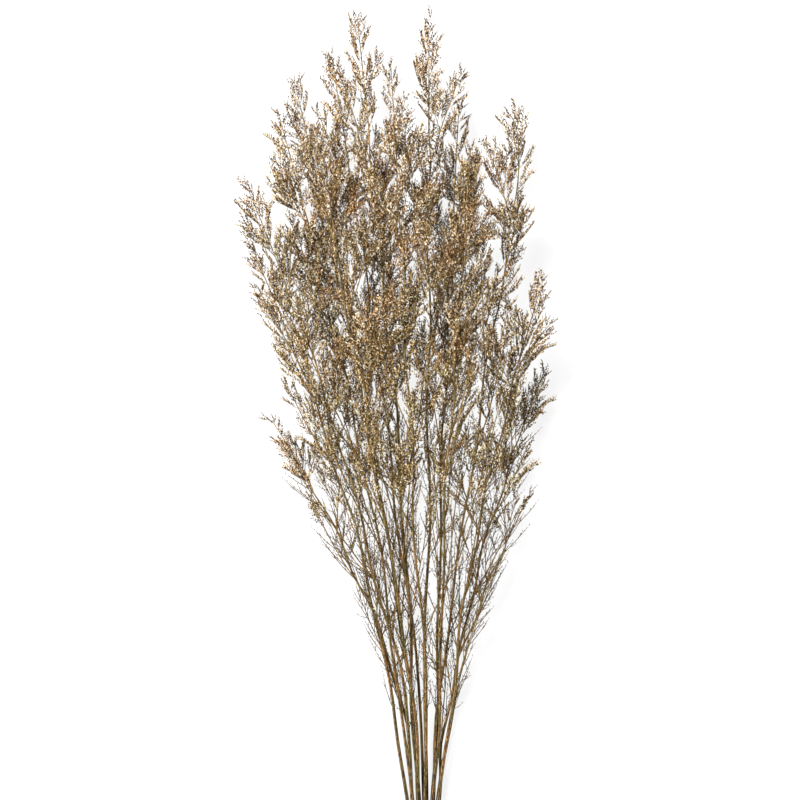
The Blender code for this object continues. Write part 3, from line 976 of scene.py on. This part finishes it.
def twine_material():
    """Hairy brown twine: dark between the fibres."""
    material, nodes = new_material("jute_twine", 0.9)
    fibres = nodes.noise(2200.0, (1.0, 0.5, 1.0), 5.0)
    nodes.base_colour(nodes.ramp(fibres, TWINE_FIBRES))
    nodes.shader.inputs["Sheen Weight"].default_value = 0.3
    nodes.bump(fibres, 0.7, COARSE_GRAIN)
    return material


def floor_material():
    """The plain pale floor, lit from below like a light table, with the faintest mottle."""
    material, nodes = new_material("plain_floor", 0.95)
    colour = settings().floor_colour
    stops = ((0.3, scaled(colour, 0.985)), (0.7, tuple(colour)))
    nodes.base_colour(nodes.ramp(nodes.noise(3.0, detail=1.0), stops))
    nodes.shader.inputs["Emission Color"].default_value = (*WHITE, 1.0)
    nodes.shader.inputs["Emission Strength"].default_value = settings().floor_glow
    return material


def wood_shade(stem_tone, level):
    """How a vertex of the wood is shaded: by height on the stem, and by how thin the shoot is."""

    def shade(vert):
        rise = smooth((vert.co.y - CUT_Y) / SHADE_OVER)
        return min(1.0, HIGH_SHADE * rise + THIN_SHADE * level + stem_tone)

    return shade


def ridge(bm, strength):
    """Press every second row of vertices in, so that the stem has fine ridges, and mark these grooves to
    be darkened with painted shade.
    """
    groove_shade = bm.verts.layers.float.new("groove_shade")
    bm.verts.ensure_lookup_table()
    for index in range(0, len(bm.verts), 2):
        vert = bm.verts[index]
        vert.co -= vert.normal * strength
        # Mark this pressed vertex, so that the bark paints shade on it.
        vert[groove_shade] = 1.0


def sink_cut(bm):
    """Give the cut end of a stem a rim of bark round its pith."""
    cut = [face for face in bm.faces if len(face.verts) == STEM_FACETS and face.normal.y < -0.5]
    bmesh.ops.inset_region(bm, faces=cut, thickness=CUT_RIM, depth=-CUT_DEPTH)
    for face in cut:
        face.material_index = 1


def scale_leaf(at, side, size, tone):
    """A dry brown scale at the root of a shoot, pressed against it."""
    bm = bmesh.new()
    heading = (UP + side * SCALE_LEAN).normalized()
    middle = at + side * size * 0.5 + heading * SCALE_LENGTH * 0.5
    place = placed(middle, heading, (SCALE_WIDTH, SCALE_WIDTH * SCALE_FLAT, SCALE_LENGTH))
    bmesh.ops.create_cone(
        bm, cap_ends=True, segments=SCALE_FACETS, radius1=1.0, radius2=SCALE_TIP, depth=1.0, matrix=place
    )
    for face in bm.faces:
        face.material_index = 2
    paint(bm, tone)
    return bm


def wood_of(stem, number, materials):
    """The finer wood of one stem, in one piece."""
    rng = random.Random(SEED + WOOD_SEED + number)
    stem_tone = rng.uniform(*STEM_TONES)
    store = new_store("shade", "groove_shade")
    for index, shoot in enumerate(stem.shoots):
        trunk = index == 0
        if trunk:
            width = rng.uniform(*STEM_SLIM)
            fine = smooth_shoot(shoot, STEM_CUTS, width, width * STEM_TOP_SLIM)
        else:
            fine = smooth_shoot(shoot, SHOOT_CUTS, SHOOT_SLIM, SHOOT_TIP_SLIM)
        bm = tube(fine.points, fine.radii, STEM_FACETS if trunk else SHOOT_FACETS, trunk)
        if trunk:
            ridge(bm, RIDGE * FOOT_RADIUS)
            sink_cut(bm)
        level = 0 if trunk else (1 if shoot.bearing == BEAR_STEPS else 2)
        paint(bm, wood_shade(stem_tone + rng.uniform(-SHOOT_TONE, SHOOT_TONE), level))
        pour(store, bm)
        if not trunk:
            along = (shoot.points[1] - shoot.points[0]).normalized()
            side = (along - UP * along.y).normalized()
            size = fine.radii[0] + SCALE_LIFT
            pour(store, scale_leaf(shoot.points[0], side, size, rng.uniform(*SCALE_TONES)))
    finish_piece(store, f"wood_{number:02d}", f"stem_{number:02d}", materials, True)


def floret(bm, root, heading, tone, size, opened, layer):
    """One floret on its sprig: a closed bud, or a brown base with an open papery calyx."""
    length = settings().floret_length * size
    width = settings().floret_width * size * 0.5
    body = OPEN_BASE * length if opened else length
    place = placed(root + heading * body * 0.5, heading, (width, width * FLORET_FLAT, body * 0.5))
    made = bmesh.ops.create_uvsphere(bm, u_segments=3, v_segments=2, radius=1.0, matrix=place)
    for vert in made["verts"]:
        past = 2.0 * (vert.co - root).dot(heading) / body - 1.0
        vert[layer] = tone - past * (TIP_DARK if past > 0.0 else BASE_PALE)
    if opened:
        for vert in made["verts"]:
            for face in vert.link_faces:
                face.material_index = 1
        open_calyx(bm, root + heading * body * CALYX_ROOT, heading, length, width, tone, layer)


def open_calyx(bm, base, heading, length, width, tone, layer):
    """A small funnel with a sunk mouth and a pale rim."""
    depth = CALYX_DEPTH * length
    made = bmesh.ops.create_cone(
        bm,
        cap_ends=True,
        cap_tris=True,
        segments=4,
        radius1=width * CALYX_THROAT,
        radius2=width * CALYX_MOUTH,
        depth=depth,
        matrix=placed(base + heading * depth * 0.5, heading),
    )
    for vert in made["verts"]:
        upper = (vert.co - base).dot(heading) > 0.5 * depth
        vert[layer] = tone + (RIM_TONE if upper else THROAT_TONE)
        if upper and len(vert.link_edges) == 4:
            vert.co -= heading * depth * CALYX_SINK
            vert[layer] = tone + MOUTH_TONE


def spike(bm, path, bulk, tone, rng, layer):
    """A comb of florets along the upper side of a thin twig."""
    length = path_length(path)
    every = FLORET_EVERY if bulk > THIN_BULK else THIN_EVERY
    count = max(2, round(length * (1.0 - FLORET_FROM) / every))
    for index in range(count):
        share = FLORET_FROM + (1.0 - FLORET_FROM) * (index + 0.5) / count
        spot, along = along_path(path, share)
        around = (FLORET_SIDE if index % 2 else -FLORET_SIDE) + rng.uniform(-FLORET_SWING, FLORET_SWING)
        out = Vector((math.sin(around), math.cos(around), 0.0))
        out = (out - along * out.dot(along)).normalized()
        tilt = FLORET_TILT * rng.uniform(*TILT_VARY) * (TILT_FALL[0] - TILT_FALL[1] * share)
        heading = (along * math.cos(tilt) + out * math.sin(tilt)).normalized()
        size = bulk * rng.uniform(*SIZE_VARY) * (SIZE_FALL[0] - SIZE_FALL[1] * share)
        opened = bulk > THIN_BULK and rng.random() < OPEN_SHARE
        floret(bm, spot, heading, tone + rng.uniform(*TONES), size, opened, layer)


def path_length(path):
    return sum((end - start).length for start, end in zip(path, path[1:]))


def along_path(path, share):
    """Point and direction at a share of the way along a path."""
    place = min(len(path) - 1.001, share * (len(path) - 1))
    index = int(place)
    start, end = path[index], path[index + 1]
    return start.lerp(end, place - index), (end - start).normalized()


def bare_twig(path, thick, thin, rng):
    """A thin twig along a path, as its own mesh in progress."""
    bm = tube(path, taper(thick, thin, len(path)), TWIGLET_SIDES, False)
    paint(bm, rng.uniform(*TWIGLET_TONES))
    for face in bm.faces:
        face.material_index = 2
    return bm


def sprig_mesh(length, spikes, bulk, tone, seed):
    """A sprig along +Z that curls towards +Y, with its florets, as a mesh to copy."""
    rng = random.Random(seed)
    curl = (SPRIG_CURL if bulk > THIN_BULK else THIN_CURL) * rng.uniform(*CURL_VARY)
    sway = rng.uniform(-SPRIG_SWAY, SPRIG_SWAY)
    path = []
    for step in range(SPRIG_STEPS + 1):
        t = step / SPRIG_STEPS
        path.append(Vector((sway * t * t, curl * t * t, t)) * length)
    stalk = SPRIG_RADIUS if bulk > THIN_BULK else THIN_RADIUS
    bm = bare_twig(path, stalk, STALK_END * stalk, rng)
    layer = bm.verts.layers.float["shade"]
    spike(bm, path, bulk, tone, rng, layer)
    for number in range(spikes):
        share = SPIKES[0] + (SPIKES[1] - SPIKES[0]) * number / spikes
        root, along = along_path(path, share)
        side = 1.0 if number % 2 else -1.0
        out = Vector((side, rng.uniform(-SPIKE_SWING, SPIKE_SWING), 0.0)).normalized()
        heading = along * math.cos(SPIKE_ANGLE) + out * math.sin(SPIKE_ANGLE)
        reach = SPIKE_LENGTH * rng.uniform(*SPIKE_VARY) * (SPIKE_FALL[0] - SPIKE_FALL[1] * share)
        end = root + (heading + along * SPIKE_UPTURN) * reach * SPIKE_END
        branchlet = [root, root + heading * reach * 0.5, end]
        pour(bm, bare_twig(branchlet, SPIKE_THIN[0] * stalk, SPIKE_THIN[1] * stalk, rng))
        spike(bm, branchlet, bulk, tone, rng, layer)
    return mesh_of(bm, "sprig")


def sprig_meshes(sizes, first_seed):
    """Every kind of sprig, from short to long, in a few variants each."""
    kinds = []
    for kind, (length, spikes, bulk, tone) in enumerate(sizes):
        seeds = range(first_seed + SPRIG_VARIANTS * kind, first_seed + SPRIG_VARIANTS * (kind + 1))
        kinds.append([sprig_mesh(length, spikes, bulk, tone, seed) for seed in seeds])
    return kinds


def thinness(y):
    """How thin the growth is at this height: 1 low down, 0 in the head."""
    low, high = THIN_Y
    return 1.0 - smooth((y - low) / (high - low))


def sprig_spacing(trunk, plume, y):
    """Distance to the next sprig: close on a plume, wider on the stem, and by height."""
    every = STEM_EVERY if trunk else (PLUME_EVERY if plume else INNER_EVERY)
    return every / np.interp(y, CROWD_Y, CROWD)


def buds_of_shoot(shoot, trunk, rng):
    """Buds along one shoot; most of them on one side, as in a fan."""
    buds = []
    fine = smooth_shoot(shoot, SHOOT_CUTS, 1.0, 1.0)
    last = len(fine.points) - 1
    plume = last - SHOOT_CUTS * shoot.bearing
    facing = math.pi * rng.randrange(2)
    run = rng.uniform(0.0, PLUME_EVERY)
    for step in range(0 if trunk else round(INNER_BARE * plume), last):
        start, end = fine.points[step], fine.points[step + 1]
        if start.y < BARE_Y:
            continue
        along = end - start
        every = sprig_spacing(trunk, step >= plume, start.y)
        share = 1.0 if step < plume else 1.0 - (step - plume) / max(1, last - plume)
        while run < along.length:
            wide = FAN_WIDTH if rng.random() < FAN_SHARE else math.pi
            around = facing + rng.uniform(-wide, wide)
            buds.append(Bud(start + along.normalized() * run, along.normalized(), around, share))
            run += every * rng.uniform(*SPACING_VARY)
        run -= along.length
    if not trunk:
        tip = fine.points[-1] - along.normalized() * PLUME_END
        buds.append(Bud(tip, along.normalized(), 0.0, None))
    return buds


def sprig_place(root, along, lean, around, size):
    """Matrix that sets a sprig on its root, leaning away from the shoot and curling with it."""
    frame_turn = along.to_track_quat("Z", "Y").to_matrix()
    out = frame_turn @ Vector((math.cos(around), math.sin(around), 0.0))
    heading = (along * math.cos(lean) + out * math.sin(lean)).normalized()
    inward = (along - heading * along.dot(heading)).normalized() if lean else out
    side = inward.cross(heading)
    turn = Matrix((side, inward, heading)).transposed().to_4x4()
    return Matrix.Translation(root) @ turn @ Matrix.Scale(size, 4)


def square(point):
    """The square that a point lies over, seen from above."""
    return int((point.x - SQUARES_FROM[0]) / SQUARE), int((point.y - SQUARES_FROM[1]) / SQUARE)


def choose_sprig(bud, full, thin, rng):
    """A sprig mesh and its length: longest at the inner end of a plume, thin ones low on the stem."""
    low = rng.random() < thinness(bud.root.y)
    kinds, sizes = (thin, THIN_SPRIGS) if low else (full, FULL_SPRIGS)
    kind = 0
    if bud.share is not None:
        kind = min(len(kinds) - 1, int(bud.share * (len(kinds) - 1) + rng.uniform(0.0, KIND_VARY)))
    return rng.choice(kinds[kind]), sizes[kind][0]


def sprig_spots(place, length):
    """A few points along a sprig that is set in its place."""
    curved = [Vector((0.0, SPRIG_CURL * share * share, share)) for share in SPRIG_SPOTS]
    return [place @ (spot * length) for spot in curved]


def best_place(bud, length, corners, cover, rng):
    """The place, of a few turned round the shoot, where a sprig covers the emptiest part."""
    thin = thinness(bud.root.y)
    lean = (SPRIG_LEAN + (THIN_LEAN - SPRIG_LEAN) * thin) * rng.uniform(*LEAN_VARY)
    if bud.share is None:
        lean = 0.0
    size = rng.uniform(*SPRIG_SIZES)
    best = None
    for attempt in range(SPRIG_TRIES):
        around = bud.around + attempt * math.tau / SPRIG_TRIES
        place = sprig_place(bud.root, bud.along, lean, around, size)
        heights = [(place @ corner).z for corner in corners]
        poke = max(0.0, max(heights) - SPRIG_TOP, -min(heights))
        spots = sprig_spots(place, length)
        covered = sum(cover[square(spot)] for spot in spots)
        cost = covered + STRAY_COST * max(0.0, outside(spots)) + POKE_COST * poke
        if best is None or cost < best[0]:
            best = (cost, place, spots, poke)
    place, spots, poke = best[1:]
    if poke > POKE_MOST and bud.root.z > LAYER_MID:
        return None
    for spot in spots:
        cover[square(spot)] += 1.0
    return place


def box_corners(mesh):
    """Corners of the box round a mesh."""
    low = [min(vert.co[axis] for vert in mesh.vertices) for axis in range(3)]
    high = [max(vert.co[axis] for vert in mesh.vertices) for axis in range(3)]
    return [Vector(corner) for corner in itertools.product(*zip(low, high))]


def plan_sprigs(stems, full, thin):
    """A mesh and a place for every sprig, listed by stem."""
    rng = random.Random(SEED + FLORET_SEED)
    cover = np.zeros(SQUARES)
    buds = []
    for owner, stem in enumerate(stems):
        for shoot in stem.shoots:
            for bud in buds_of_shoot(shoot, shoot is stem.shoots[0], rng):
                buds.append((owner, bud))
            for point in smooth_shoot(shoot, SHOOT_CUTS, 1.0, 1.0).points:
                cover[square(point)] += SHOOT_COVER
    rng.shuffle(buds)
    plans = [[] for stem in stems]
    corners = {mesh.name: box_corners(mesh) for kinds in (full, thin) for kind in kinds for mesh in kind}
    for owner, bud in buds:
        mesh, length = choose_sprig(bud, full, thin, rng)
        place = best_place(bud, length, corners[mesh.name], cover, rng)
        if place:
            plans[owner].append((mesh, place))
    return plans


def florets_of(plan, number, materials):
    """All the sprigs of one stem, in one piece."""
    store = new_store("shade")
    for mesh, place in plan:
        copy = mesh.copy()
        copy.transform(place)
        store.from_mesh(copy, face_normals=False, vertex_normals=False)
        bpy.data.meshes.remove(copy)
    for vert in store.verts:
        vert.co.z = max(vert.co.z, LOWEST)
    finish_piece(store, f"florets_{number:02d}", f"stem_{number:02d}", materials, False)


def twist(path, closed, ply, lay):
    """Three plies twisted round a path, as lists of points."""
    plies = [[], [], []]
    run = 0.0
    last = len(path) - 1
    for index, point in enumerate(path):
        before = path[index - 1] if closed or index else point
        after = path[(index + 1) % len(path)] if closed or index < last else point
        along = (after - before).normalized()
        turn = along.to_track_quat("Z", "Y").to_matrix()
        for number, points in enumerate(plies):
            angle = math.tau * (run / lay + number / 3.0)
            points.append(point + turn @ Vector((math.cos(angle), math.sin(angle), 0.0)) * ply)
        run += (path[(index + 1) % len(path)] - point).length
    return plies


def twine_mesh(paths, closed, ply):
    """A curve with a round section for each ply, turned into one mesh."""
    curve = bpy.data.curves.new("ply", "CURVE")
    curve.dimensions = "3D"
    curve.bevel_depth = ply * PLY_SWELL
    curve.bevel_resolution = 0
    curve.use_fill_caps = True
    for path in paths:
        spline = curve.splines.new("POLY")
        spline.points.add(len(path) - 1)
        for item, point in zip(spline.points, path):
            item.co = (*point, 1.0)
        spline.use_cyclic_u = closed
    holder = add_object("ply", curve)
    graph = bpy.context.evaluated_depsgraph_get()
    mesh = bpy.data.meshes.new_from_object(holder.evaluated_get(graph))
    bpy.data.objects.remove(holder, do_unlink=True)
    bpy.data.curves.remove(curve)
    return mesh


def tie_loop(reach):
    """A rounded loop round the stems in the tie, as a dense closed path."""
    feet = [foot_place(row, column) for row in range(len(ROWS)) for column in range(len(ROWS[row]))]
    loop = []
    for step in range(LOOP_STEPS):
        angle = math.tau * step / LOOP_STEPS
        out = Vector((math.cos(angle), 0.0, math.sin(angle)))
        x, z = max(feet, key=lambda foot: foot[0] * out.x + foot[1] * out.z)
        loop.append(Vector((x, TIE_Y, z)) + out * reach)
    return even_path(loop + loop[:1], TWINE_STEP)[:-1]


def even_path(path, step):
    """The same path with points at even steps."""
    steps = [(end - start).length for start, end in zip(path, path[1:])]
    runs = np.concatenate(([0.0], np.cumsum(steps)))
    spots = np.linspace(0.0, runs[-1], max(2, round(runs[-1] / step)) + 1)
    axes = [np.interp(spots, runs, [point[axis] for point in path]) for axis in range(3)]
    return [Vector(point) for point in zip(*axes)]


def knot_path(top):
    """From one tail's end through the coils of the knot to the other's."""
    tail = [top + Vector((-x, y, z)) for x, y, z in reversed(TAIL)]
    coils = []
    for step in range(KNOT_STEPS + 1):
        share = step / KNOT_STEPS
        angle = math.tau * KNOT_TURNS * share
        offset = Vector((KNOT_HALF * (2.0 * share - 1.0), math.cos(angle) * KNOT_REACH, 0.0))
        offset.z = (KNOT_RISE + math.sin(angle)) * KNOT_REACH * KNOT_FLAT
        coils.append(top + offset)
    other = [top + Vector(spot) for spot in TAIL]
    parts = [Shoot(part, [1.0] * len(part), 0) for part in (tail, other)]
    ends = [smooth_shoot(part, TAIL_CUTS, 1.0, 1.0).points for part in parts]
    return even_path(ends[0] + coils + ends[1], TWINE_STEP)


def make_tie(material):
    """The tie: three turns of twisted twine, a coiled knot and two tails."""
    ply = settings().twine_ply
    store = bmesh.new()
    loop = tie_loop(FOOT_RADIUS + TIE_GAP + 0.5 * TWINE)
    girth = path_length(loop + loop[:1])
    lay = girth / round(girth / TWINE_LAY)
    for strand in STRANDS:
        path = [point + UP * strand for point in loop]
        store.from_mesh(twine_mesh(twist(path, True, ply, lay), True, ply))
    height = max(point.z for point in tie_loop(FOOT_RADIUS + TIE_GAP + TWINE))
    knot = twist(knot_path(Vector((FOOT_X, TIE_Y, height))), False, ply * KNOT_PLY, TWINE_LAY)
    store.from_mesh(twine_mesh(knot, False, ply * KNOT_PLY))
    bmesh.ops.remove_doubles(store, verts=store.verts, dist=WELD)
    for vert in store.verts:
        vert.co.z = max(vert.co.z, 0.0)
    finish_piece(store, "twine", "twine_tie", [material], True)


class StaticeWood(bpy.types.Operator):
    """Add the stems, branches and twigs"""

    bl_idname = "statice.wood"
    bl_label = "Stems and twigs"

    def execute(self, context):
        materials = [bark_material(), pith_material(), bract_material()]
        for number, stem in enumerate(grow_bunch(), start=1):
            wood_of(stem, number, materials)
        return {"FINISHED"}


class StaticeFlorets(bpy.types.Operator):
    """Add the sprigs with their florets"""

    bl_idname = "statice.florets"
    bl_label = "Florets"

    def execute(self, context):
        materials = [calyx_material(), bract_material(), twiglet_material()]
        full = sprig_meshes(FULL_SPRIGS, SPRIG_SEED)
        thin = sprig_meshes(THIN_SPRIGS, SPRIG_SEED + THIN_SEED)
        for number, plan in enumerate(plan_sprigs(grow_bunch(), full, thin), start=1):
            florets_of(plan, number, materials)
        return {"FINISHED"}


class StaticeTie(bpy.types.Operator):
    """Add the twine tie"""

    bl_idname = "statice.tie"
    bl_label = "Twine tie"

    def execute(self, context):
        make_tie(twine_material())
        return {"FINISHED"}


class StaticeStage(bpy.types.Operator):
    """Add the floor, the soft light and the camera"""

    bl_idname = "statice.stage"
    bl_label = "Floor, light and camera"

    def execute(self, context):
        add_floor()
        add_light()
        add_camera()
        return {"FINISHED"}


class StaticePanel(bpy.types.Panel):
    """Lists the steps in the order that they run"""

    bl_idname = "VIEW3D_PT_statice"
    bl_label = "Dried statice"
    bl_space_type = "VIEW_3D"
    bl_region_type = "UI"
    bl_category = "Statice"

    def draw(self, context):
        for name in context.scene.statice.bl_rna.properties.keys():
            if name not in ("rna_type", "name"):
                self.layout.prop(context.scene.statice, name)
        for operator in (StaticeWood, StaticeFlorets, StaticeTie, StaticeStage):
            self.layout.operator(operator.bl_idname)


def add_floor():
    bm = bmesh.new()
    place = Matrix.Translation((*VIEW_CENTRE, -FLOOR_DROP))
    bmesh.ops.create_grid(bm, x_segments=1, y_segments=1, size=FLOOR_HALF, matrix=place)
    floor = add_object("floor", mesh_of(bm, "floor"))
    floor.data.materials.append(floor_material())


def add_light():
    world = bpy.data.worlds.new("even_light")
    world.use_nodes = True
    sky = world.node_tree.nodes["Background"]
    sky.inputs["Color"].default_value = (*WHITE, 1.0)
    sky.inputs["Strength"].default_value = settings().sky_strength
    bpy.context.scene.world = world
    lamp = bpy.data.lights.new("soft_lamp", "AREA")
    lamp.shape = "DISK"
    lamp.size = LAMP_SIZE
    lamp.energy = settings().light_power
    holder = add_object("soft_lamp", lamp)
    holder.location = LAMP_PLACE
    holder.rotation_euler = (Vector(LAMP_AIM) - Vector(LAMP_PLACE)).to_track_quat("-Z", "Y").to_euler()


def add_camera():
    camera = bpy.data.cameras.new("camera")
    camera.sensor_width = SENSOR
    camera.lens = SENSOR * VIEW_DISTANCE / VIEW_SIZE
    camera.clip_end = VIEW_END
    holder = add_object("camera", camera)
    holder.location = (*VIEW_CENTRE, VIEW_PLANE + VIEW_DISTANCE)
    bpy.context.scene.camera = holder
    bpy.context.scene.view_settings.view_transform = "Standard"


CLASSES = (
    StaticeSettings,
    StaticeWood,
    StaticeFlorets,
    StaticeTie,
    StaticeStage,
    StaticePanel,
)


def register():
    for item in CLASSES:
        bpy.utils.register_class(item)
    bpy.types.Scene.statice = bpy.props.PointerProperty(type=StaticeSettings)


def unregister():
    del bpy.types.Scene.statice
    for item in reversed(CLASSES):
        bpy.utils.unregister_class(item)


def main():
    register()
    bpy.ops.statice.wood()
    bpy.ops.statice.florets()
    bpy.ops.statice.tie()
    bpy.ops.statice.stage()


if __name__ == "__main__":
    main()
